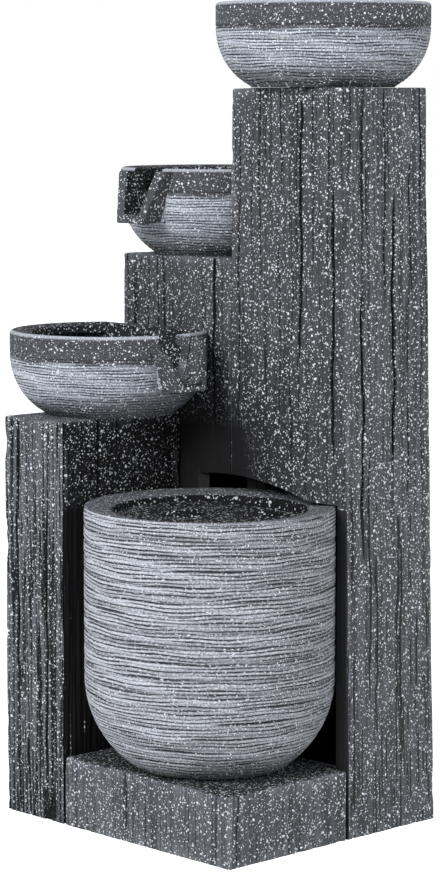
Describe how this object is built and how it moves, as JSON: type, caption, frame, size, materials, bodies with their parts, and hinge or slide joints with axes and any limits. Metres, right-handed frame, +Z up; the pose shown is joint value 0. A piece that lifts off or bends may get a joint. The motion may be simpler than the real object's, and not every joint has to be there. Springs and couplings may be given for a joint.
{
  "type": "floor fountain",
  "caption": "Tiered floor fountain: cast columns step down around a ribbed pot, each with a spouted bowl; a pump in the pot feeds the top bowl through a hidden hose.",
  "frame": {"origin": "on the floor, under the middle of the rectangular base", "axes": "+Z up. The picture looks at the vertical edge between the -X and -Y sides. +X runs away along the right-hand front face, which is the -Y side, and +Y away along the left-hand front face, which is the -X side. The access door is on the +Y side."},
  "size_m": [0.4575, 0.484, 1],
  "materials": {
    "column_stone": "matte",
    "bowl_stone": "matte",
    "pot_stone": "matte",
    "tray_stone": "matte",
    "black_plastic": "matte",
    "grey_plastic": "satin",
    "door_plastic": "matte",
    "rubber": "matte",
    "hose_rubber": "satin",
    "zinc_steel": "satin",
    "stainless": "satin",
    "ferrite": "matte",
    "laminations": "satin",
    "copper_wire": "satin",
    "impeller_plastic": "satin"
  },
  "bodies": {
    "base": {"base_plate": "black_plastic", "plinth_block": "column_stone", "tall_column": "column_stone", "middle_column": "column_stone", "short_column": "column_stone", "base_screws": "zinc_steel", "tie_bolts": "zinc_steel", "tie_nuts": "zinc_steel", "top_bowl": "bowl_stone", "middle_bowl": "bowl_stone", "lower_bowl": "bowl_stone", "bowl_gaskets": "rubber", "bowl_bolts": "stainless", "bowl_seal_washers": "rubber", "bowl_nuts": "stainless", "reservoir_pot": "pot_stone", "pot_pad": "rubber", "inlet_fitting": "black_plastic", "inlet_seal": "rubber", "inlet_nut": "black_plastic", "riser_hose": "hose_rubber", "hose_clamps": "stainless", "hose_grommet": "rubber", "pump_housing": "black_plastic", "pump_back_cover": "black_plastic", "pump_cable_gland": "rubber", "suction_cups": "rubber", "volute_cover": "grey_plastic", "volute_o_ring": "rubber", "volute_screws": "stainless", "rotor_shaft": "stainless", "shaft_bushes": "rubber", "stator_core": "laminations", "stator_coil": "copper_wire", "door_hinge_pins": "stainless", "cable_gland": "rubber"},
    "rotor": {"rotor_magnet": "ferrite", "impeller": "impeller_plastic"},
    "strainer": {"strainer_cover": "black_plastic"},
    "dial": {"flow_dial": "grey_plastic"},
    "cover": {"pump_cover": "tray_stone"},
    "door": {"access_door": "door_plastic"},
    "latch": {"door_latch": "black_plastic", "latch_cam": "zinc_steel"}
  },
  "joints": [
    {"name": "rotor_spin", "type": "hinge", "parent": "base", "child": "rotor", "pos_m": [-0.036, -0.052, 0.131], "axis": [0, 1, 0], "continuous": true},
    {"name": "strainer_pull", "type": "slide", "parent": "base", "child": "strainer", "axis": [0, -1, 0], "range_m": [0, 0.025]},
    {"name": "dial_turn", "type": "hinge", "parent": "strainer", "child": "dial", "pos_m": [-0.036, -0.052, 0.131], "axis": [0, 1, 0], "range_deg": [0, 45]},
    {"name": "cover_lift", "type": "slide", "parent": "base", "child": "cover", "axis": [0, 0, 1], "range_m": [0, 0.09]},
    {"name": "door_swing", "type": "hinge", "parent": "base", "child": "door", "pos_m": [0.049, 0.198, 0.135], "axis": [0, 0, 1], "range_deg": [0, 100]},
    {"name": "latch_turn", "type": "hinge", "parent": "door", "child": "latch", "pos_m": [0.13, 0.201, 0.135], "axis": [0, 1, 0], "range_deg": [0, 90]}
  ]
}
